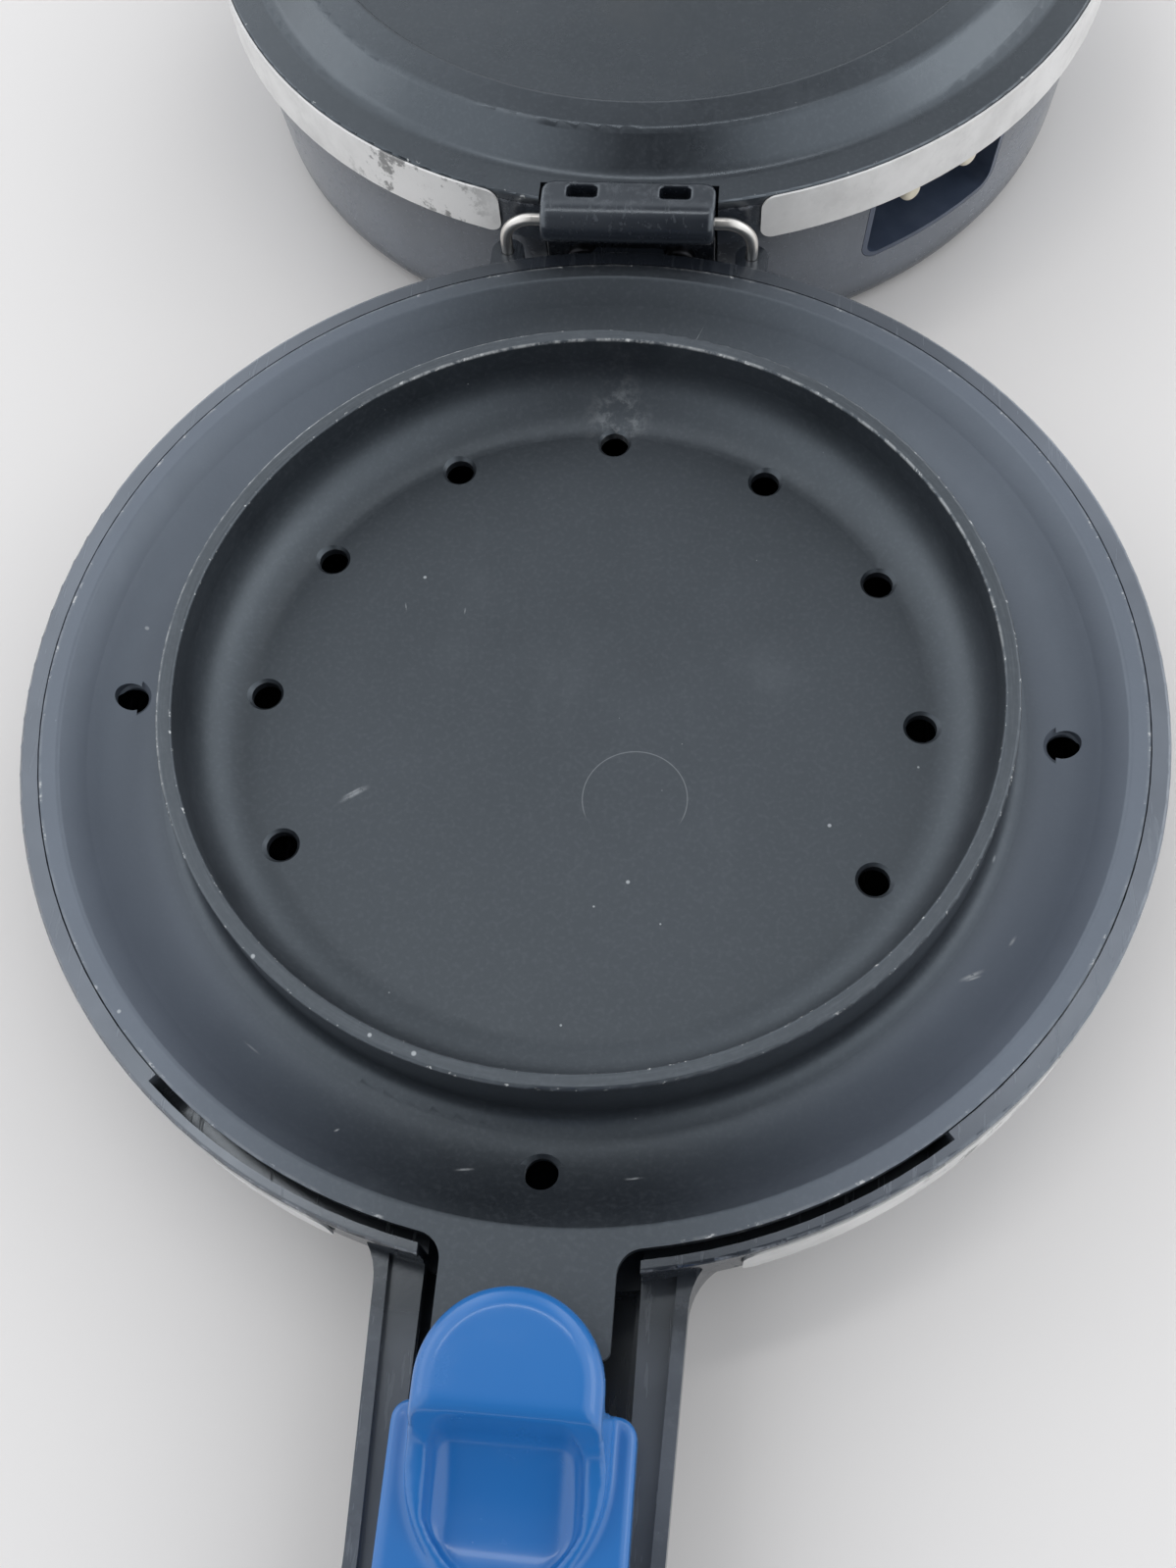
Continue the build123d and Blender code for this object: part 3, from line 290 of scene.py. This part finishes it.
def trayFinish():
    grainStrength = tray["grainStrength"]
    f, x, y, z, radius, colour, roughness, normal = coatedCast("trayCoating", panCentre, grainStrength)
    turn = x.maths("ARCTAN2", x, y)  # 0 at the hinge's side, growing to the right
    inner, outer, top = tray["ringInner"] * mm, tray["ringOuter"] * mm, tray["ringTop"] * mm
    sideStart, sideEnd = tray["sideReflectionSide"]
    # painted reflection: the coating is painted paler grey-blue in the trough at both sides, standing in for
    # the side light's sheen
    sideReflection = radius.ramp(outer, outer + tray["sideReflectionOut"] * mm) * abs(x).ramp(sideStart * mm, sideEnd * mm)
    colour = f.mix(sideReflection * (0.55 + 0.25 * f.noise(35, 4, 0.6)), colour, tray["sideReflectionTone"])
    high = z.ramp(top - 0.6 * mm, top - 0.2 * mm)
    ringTop = high * radius.ramp(inner - 0.2 * mm, inner + 0.3 * mm)
    streaks = f.patches(*tray["streaks"], f.join(turn * 9, radius * 2600))
    colour = f.mix(ringTop * (0.10 + 0.16 * streaks), colour, coating["worn"])
    chips = f.patches(*tray["chips"])
    lines = f.patches(*tray["lines"], f.join(turn * 26, radius * 500))
    width = tray["rubWidth"] * mm
    inside, outside = radius.near(inner + width / 2, width), radius.near(outer - width / 2, width)
    leftSide, farSide = between(turn, *tray["leftSide"]), between(turn, *tray["farSide"])
    rubbed = (outside * leftSide + inside * farSide) * lines * 0.55 + (inside + outside) * chips
    colour = f.mix(rubbed * high, colour, coating["bare"])
    (near, far), (within, beyond) = tray["tongueStart"], tray["tongueSide"]
    tongue = (0 - y).ramp(near * mm, far * mm) * (1 - abs(x).ramp(within * mm, beyond * mm))
    rim = radius.near(tray["edge"] * mm, tray["edgeWidth"] * mm) * (1 - tongue)
    colour = f.mix(rim * (0.14 * lines + 0.8 * f.patches(*tray["edgeChips"])), colour, coating["bare"])
    broken = f.patches(*tray["broken"])
    for start, end, width, strength in tray["scratches"]:
        colour = f.mix(markOn(x, y, start, end, width) * broken * strength, colour, coating["chalk"])
    for place, size in tray["specks"]:
        speck = 1 - awayFrom(x, y, place).ramp(size * 0.45 * mm, size * mm)
        colour = f.mix(speck * 0.8, colour, coating["chalk"])
    centre, size, width = tray["curl"]
    openEnd = centre[1] - 3
    curl = awayFrom(x, y, centre).near(size * mm, width * mm) * y.ramp((openEnd - 1) * mm, (openEnd + 1) * mm)
    colour = f.mix(curl * 0.30, colour, coating["chalk"])
    place, size = tray["powder"]
    powder = (1 - awayFrom(x, y, place).ramp(0.0, size * mm)) * f.patches(*tray["powderPatches"])
    colour = f.mix(powder * 0.40, colour, coating["chalk"])
    place, size = tray["smear"]
    wiped = (1 - awayFrom(x, y, place).ramp(0.0, size * mm)) * f.patches(*tray["smearPatches"])
    colour = f.mix(wiped * 0.12, colour, coating["worn"])
    f.put({"Base Color": colour, "Roughness": roughness, "Normal": normal})
    return f.material


plate = {
    "edge": 81.9,  # mm from the head's centre
    "edgeWidth": 0.5,
    "ior": 1.90,
    "gloss": 0.17,  # how much smoother than the tray
    "grainStrength": 0.18,
    "chips": (700, 4, 0.7, 0.64, 0.70),
    "stain": (0.030, 0.029, 0.028),
    "stains": (34, 5, 0.7, 0.50, 0.72),
    "stainEdge": (46, 52),  # the stains fade out here
    "flecks": (140, 0.08, 0.94),
    "fleckHeight": (2.5, 4.0),  # flecks lie on the raised ridge alone
}


def plateFinish():
    grainStrength = plate["grainStrength"]
    f, x, y, z, radius, colour, roughness, normal = coatedCast("plateCoating", headCentre, grainStrength)
    edge = radius.near(plate["edge"] * mm, plate["edgeWidth"] * mm)
    colour = f.mix(edge * f.patches(*plate["chips"]), colour, coating["bare"])
    low, high = plate["stainEdge"]
    stain = f.patches(*plate["stains"]) * (1 - radius.ramp(low * mm, high * mm))
    colour = f.mix(stain * 0.5, colour, plate["stain"])
    low, high = plate["fleckHeight"]
    fleck = f.specks(*plate["flecks"]) * z.ramp(low * mm, high * mm)
    colour = f.mix(fleck * 0.5, colour, coating["chalk"])
    f.put({"Base Color": colour, "Roughness": roughness - plate["gloss"], "Normal": normal,
           "IOR": plate["ior"]})
    return f.material


moulding = {
    "deep": (0.0080, 0.0100, 0.0145),
    "pale": (0.0170, 0.0200, 0.0265),
    "rub": (0.20, 0.21, 0.235),
    # painted light: the paler tone laid on the mouldings where reflections and lifted shade are painted
    "paintedLight": (0.200, 0.220, 0.260),
    "sheen": (0.86, 0.93, 1.00),
    "ior": 1.85,
    "roughness": 0.19,
    "cloud": (30, 4, 0.6, 0.35, 0.7),
    "hairs": (80, 3, 0.6, 0.60, 0.66),
    "rubPatches": (420, 4, 0.7, 0.46, 0.68),
    "dust": (230, 0.024, 0.96),
    "waves": (45, 2, 0.5),
    "waveDepth": 0.3,  # mm
    "skin": (1400, 3, 0.6),
    "skinDepth": 0.015,  # mm
}


def mouldedBlack(name, centre, wearAndLight):
    # black phenolic: glossy but handled, with fine scratches and dust. The function passed in gives, from the
    # (x, y, z, radius) wires, the rubbed edges and the painted light: painted reflections and painted lift in
    # shade
    f = Finish(name, {"IOR": moulding["ior"], "Specular Tint": moulding["sheen"]})
    x, y, z = f.split(f.shift(centre))
    radius = (x * x + y * y) ** 0.5
    cloud = f.patches(*moulding["cloud"])
    colour = f.mix(cloud, moulding["deep"], moulding["pale"])
    hairs = f.patches(*moulding["hairs"], f.shift(centre, (12, 1, 12)))
    rubbed, paintedLight = wearAndLight(x, y, z, radius)
    colour = f.mix(hairs * 0.03, colour, moulding["rub"])
    # painted light: the paler tone mixed in where the function above gives painted reflections or painted
    # lift in shade
    colour = f.mix(paintedLight * (0.75 + 0.25 * cloud), colour, moulding["paintedLight"])
    colour = f.mix(f.specks(*moulding["dust"]) * 0.25, colour, coating["chalk"])
    colour = f.mix(rubbed * f.patches(*moulding["rubPatches"]), colour, moulding["rub"])
    normal = f.bump(f.noise(*moulding["waves"]), moulding["waveDepth"] * mm, 0.10)
    normal = f.bump(f.noise(*moulding["skin"]), moulding["skinDepth"] * mm, 0.4, normal)
    roughness = moulding["roughness"] + hairs * 0.12 + cloud * 0.08
    f.put({"Base Color": colour, "Roughness": roughness, "Normal": normal})
    return f.material


# rubbed wear on the mouldings, and painted light: the pan's rim sides and the head's wall get painted
# reflections, the handle's top a painted lift in shade
wearAndLightMarks = {  # mm from the half's centre: from, to; or place, width
    "panLip": (82.35, 0.30), "panLipHeight": (-1.0, -0.3), "panLipShare": 0.7,
    "handleRidge": (-6.0, 0.25), "handleRidgeStart": (84, 86), "handleRidgeShare": 0.12,
    "panReflectionStart": (77, 80), "panReflectionSide": (15, 70), "panReflectionHeight": (-4.0, -1.0), "panReflectionShare": 0.7,
    "handleLightStart": (84, 92), "handleLightHeight": (-18, -9), "handleLightShare": 0.30,
    "headRim": (82.2, 0.4), "headRimHeight": (-2.6, -1.8),
    "wallReflectionStart": (-2.0, 26), "wallReflectionEnd": (30, 37), "wallReflectionShare": 0.6,  # painted reflection of the table on the head's wall, growing downwards
    "barrelEdge": (0.7, 0.2), "barrelEdgeShare": 0.15,
}


def marked(name):  # a pair of the marks above, in metres
    first, second = wearAndLightMarks[name]
    return first * mm, second * mm


def panWearAndLight(x, y, z, radius):
    lip = radius.near(*marked("panLip")) * z.ramp(*marked("panLipHeight"))
    ridge = z.near(*marked("handleRidge")) * radius.ramp(*marked("handleRidgeStart"))
    # painted reflection: the pan's rim is painted paler towards both sides, standing in for the side light's
    # sheen
    paintedLight = radius.ramp(*marked("panReflectionStart")) * abs(x).ramp(*marked("panReflectionSide"))
    paintedLight = paintedLight * z.ramp(*marked("panReflectionHeight"))
    # painted light: the handle's upper part is painted paler, lifting its shade
    handleLight = (0 - y).ramp(*marked("handleLightStart")) * z.ramp(*marked("handleLightHeight"))
    rubbed = lip * wearAndLightMarks["panLipShare"] + ridge * wearAndLightMarks["handleRidgeShare"]
    return rubbed, paintedLight * wearAndLightMarks["panReflectionShare"] + handleLight * wearAndLightMarks["handleLightShare"]


def headWearAndLight(x, y, z, radius):
    rim = radius.near(*marked("headRim")) * z.ramp(*marked("headRimHeight"))
    # painted reflection: the head's wall is painted paler towards the bottom, standing in for the table's
    # reflection
    wallReflection = (0 - z).ramp(*marked("wallReflectionStart")) * (1 - (0 - z).ramp(*marked("wallReflectionEnd")))
    return rim, wallReflection * wearAndLightMarks["wallReflectionShare"]


def barrelWear(x, y, z, radius):
    return z.near(*marked("barrelEdge")) * wearAndLightMarks["barrelEdgeShare"], 0.0


latchLook = {
    "blue": (0.018, 0.140, 0.420),
    "light": (0.030, 0.175, 0.480),
    "roughness": 0.22,
    "dustColour": (0.6, 0.66, 0.75),
    "dust": (600, 0.06, 0.95),
    "smudges": (140, 4, 0.6, 0.5, 0.8),
}


def blueGloss():
    f = Finish("blueGloss", {"IOR": 1.50, "Coat Weight": 0.25, "Coat Roughness": 0.07})
    cloud = f.noise(40, 3, 0.5)
    colour = f.mix(cloud * 0.5, latchLook["blue"], latchLook["light"])
    colour = f.mix(f.specks(*latchLook["dust"]) * 0.3, colour, latchLook["dustColour"])
    smudge = f.patches(*latchLook["smudges"])
    normal = f.bump(f.noise(120, 2, 0.4), 0.2 * mm, 0.08)
    f.put({"Base Color": colour, "Roughness": latchLook["roughness"] + smudge * 0.12, "Normal": normal})
    return f.material


bandLook = {
    "bright": (0.76, 0.75, 0.74),
    "dull": (0.62, 0.61, 0.60),
    "stain": (0.12, 0.12, 0.12),
    "cloud": (55, 5, 0.65, 0.35, 0.7),
    "stains": (150, 5, 0.75, 0.52, 0.60),
    "metallic": 0.22,
    "roughness": 0.42,
    "panWorst": ((60, -57), 20),  # place and spread (mm) of the worst stains
    "headWorst": ((-37, -74), 17),
}


def wornBand(name, centre, worst):
    # thin metal foil, rubbed dull, with shallow dents and grey stains
    f = Finish(name, {})
    x, y, z = f.split(f.shift(centre))
    cloud = f.patches(*bandLook["cloud"])
    colour = f.mix(cloud, bandLook["bright"], bandLook["dull"])
    place, spread = worst
    bad = 1 - awayFrom(x, y, place).ramp(spread * 0.4 * mm, spread * mm)
    patch = (0.08 + 0.92 * bad) * f.patches(*bandLook["stains"])
    colour = f.mix(patch * 0.8, colour, bandLook["stain"])
    lines = f.noise(900, 3, 0.6, f.shift(centre, (0.12, 0.12, 2.0)))
    normal = f.bump(f.noise(70, 3, 0.55), 0.6 * mm, 0.20 + bad * 0.5)
    normal = f.bump(lines, 0.02 * mm, 0.5, normal)
    f.put({"Base Color": colour, "Metallic": bandLook["metallic"] - patch * 0.15,
           "Roughness": bandLook["roughness"] + cloud * 0.14, "Normal": normal})
    return f.material


def drawnSteel(name, tone, roughness):
    f = Finish(name, {"Metallic": 1.0})
    cloud = f.noise(160, 4, 0.6)
    colour = f.mix(cloud.ramp(0.3, 0.75), tone, [v * 0.72 for v in tone])
    normal = f.bump(f.noise(1500, 3, 0.6), 0.02 * mm, 0.5)
    f.put({"Base Color": colour, "Roughness": roughness + cloud * 0.15, "Normal": normal})
    return f.material


def mattePiece(name, deep, pale, roughness, grain, depth):
    # rubber, felt, sleeving and moulded insulators; grain is a scale, depth is in mm
    f = Finish(name, {})
    colour = f.mix(f.patches(grain * 0.15, 4, 0.6, 0.3, 0.7), deep, pale)
    normal = f.bump(f.noise(grain, 4, 0.65), depth * mm, 0.6)
    f.put({"Base Color": colour, "Roughness": roughness, "Normal": normal})
    return f.material


def dress(material, *names):
    for name in names:
        slots = nodes[name].data.materials
        slots.clear()
        slots.append(material)


# Moulded pieces whose edges are softer than the CAD form

softForms = {  # node: body, material slot, voxel (mm), smoothing passes
    "latch_slide": ("latch", "latch", 0.30, 18),
    "hinge_barrel": ("head", "housing", 0.28, 5),
}


def soften(name):
    body, slot, voxel, passes = softForms[name]
    draft = bpy.data.objects.new("draft", nodes[name].data.copy())
    bpy.context.scene.collection.objects.link(draft)
    remesh = draft.modifiers.new("remesh", "REMESH")
    remesh.mode, remesh.voxel_size, remesh.use_smooth_shade = "VOXEL", voxel * mm, True
    smooth = draft.modifiers.new("smooth", "SMOOTH")
    smooth.factor, smooth.iterations = 0.5, passes
    ready = draft.evaluated_get(bpy.context.evaluated_depsgraph_get())
    piece = bpy.data.objects.new(name + "_soft", bpy.data.meshes.new_from_object(ready))
    bpy.data.objects.remove(draft)
    bpy.context.scene.collection.objects.link(piece)
    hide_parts(name)
    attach(piece, body)
    nodes[name] = piece


for name in softForms:
    soften(name)
print("softened", ", ".join(softForms))

dress(trayFinish(), "cooking_tray")
dress(plateFinish(), "head_plate")
dress(mouldedBlack("panMoulding", panCentre, panWearAndLight), "base_shell")
dress(mouldedBlack("headMoulding", headCentre, headWearAndLight), "head_shell")
dress(mouldedBlack("barrelMoulding", headCentre, barrelWear), "hinge_barrel")
dress(blueGloss(), "latch_slide")
dress(wornBand("panBand", panCentre, bandLook["panWorst"]), "base_trim_band")
dress(wornBand("headBand", headCentre, bandLook["headWorst"]), "head_trim_band")
dress(drawnSteel("bailSteel", (0.80, 0.77, 0.73), 0.24), "bail_wire")
dress(drawnSteel("plainSteel", (0.50, 0.50, 0.51), 0.34), "bail_clips", "latch_screws", "latch_retainer",
      "plate_screws", "clamp_screws", "cutout_screws", "element_clamp", "heat_shield", "thermal_cutout")
dress(drawnSteel("blackOxide", (0.050, 0.050, 0.055), 0.36), "hinge_screws")
dress(drawnSteel("tintedSheath", (0.30, 0.27, 0.23), 0.42), "heating_element")

matteLooks = {  # node: finish, deep, pale, roughness, grain, depth of the grain
    "terminal_pins": ("ivoryPins", (0.66, 0.60, 0.47), (0.78, 0.73, 0.62), 0.38, 600, 0.03),
    "inlet_guard": ("inletSlate", (0.045, 0.060, 0.095), (0.070, 0.090, 0.135), 0.30, 900, 0.02),
    "base_feet": ("footRubber", (0.020, 0.020, 0.020), (0.045, 0.045, 0.045), 0.75, 1500, 0.06),
    "insulation_pad": ("glassFelt", (0.60, 0.55, 0.42), (0.80, 0.77, 0.66), 0.9, 800, 0.4),
    "internal_leads": ("leadSleeve", (0.55, 0.53, 0.47), (0.76, 0.74, 0.68), 0.8, 1800, 0.1),
    "inlet_block": ("pressedInsulator", (0.38, 0.35, 0.28), (0.52, 0.48, 0.39), 0.6, 900, 0.05),
}
for name, look in matteLooks.items():
    dress(mattePiece(*look), name)
print("finishes on all nodes")


# Floor, light and camera

room = {
    "floorSize": 9.0,
    "floorColour": (0.815, 0.785, 0.768),
    "floorRoughness": 0.65,
    "sky": (0.93, 0.965, 1.00),
    "overhead": 0.18,  # how bright the soft light is from above, and what the other directions add
    "sides": 1.12,
    "back": 0.58,
    "front": -0.18,
    "aim": (0, 0.02, 0),
    "lamps": [  # name, place, width and height, watts
        ("ceilingStrip", (-0.10, 0.30, 1.45), (1.0, 0.12), 1.9),
        ("leftWindow", (-1.25, 0.30, 0.75), (0.80, 0.80), 1.7),
        ("rightWindow", (1.25, 0.20, 0.75), (0.80, 0.80), 2.3),
    ],
}


def makeFloor():
    mesh = bpy.data.meshes.new("floor")
    half = room["floorSize"] / 2
    corners = [(-half, -half, 0), (half, -half, 0), (half, half, 0), (-half, half, 0)]
    mesh.from_pydata(corners, [], [(0, 1, 2, 3)])
    floor = bpy.data.objects.new("floor", mesh)
    bpy.context.scene.collection.objects.link(floor)
    f = Finish("paleTable", {"Roughness": room["floorRoughness"]})
    shaded = [v * 0.95 for v in room["floorColour"]]
    f.put({"Base Color": f.mix(f.noise(6, 3, 0.5) * 0.4, room["floorColour"], shaded)})
    mesh.materials.append(f.material)


def makeLamps():
    aim = Vector(room["aim"])
    for name, place, size, watts in room["lamps"]:
        lamp = bpy.data.lights.new(name, "AREA")
        lamp.shape = "RECTANGLE"
        lamp.size, lamp.size_y = size
        lamp.energy = watts
        holder = bpy.data.objects.new(name, lamp)
        holder.location = place
        holder.rotation_euler = (aim - Vector(place)).to_track_quat("-Z", "Y").to_euler()
        bpy.context.scene.collection.objects.link(holder)


def makeSky():
    # soft light as in a tent: brighter from both sides and the back, dim from the front
    tent = Backdrop("paleRoom")
    x, y, z = tent.split(tent.place)
    side = abs(x).ramp(0.10, 0.45)
    level = room["overhead"] + room["sides"] * side + room["back"] * y.ramp(0.45, 0.85)
    level = level + room["front"] * (1 - side) * (0 - y).ramp(0.15, 0.60)
    tent.put({"Color": room["sky"], "Strength": level})
    bpy.context.scene.world = tent.world


view = {
    "fromPanCentre": (21.592 * mm, -111.900 * mm, 204.144 * mm),
    "forward": (-0.087469, 0.424851, -0.901028),
    "right": (0.994672, 0.086794, -0.055635),
    "lens": 37.08,
    "sensor": 36,
    "nearest": 0.01,
}


def makeCamera():
    data = bpy.data.cameras.new("photoView")
    data.lens = view["lens"]
    data.sensor_width = view["sensor"]
    data.clip_start = view["nearest"]
    camera = bpy.data.objects.new("photoView", data)
    forward, right = Vector(view["forward"]), Vector(view["right"])
    turn = Matrix((right, right.cross(forward), -forward)).transposed()
    camera.matrix_world = Matrix.Translation(panCentre + Vector(view["fromPanCentre"])) @ turn.to_4x4()
    bpy.context.scene.collection.objects.link(camera)
    bpy.context.scene.camera = camera


makeFloor()
makeLamps()
makeSky()
makeCamera()
bpy.context.scene.view_settings.view_transform = "Standard"
print("floor, lamps and camera placed")
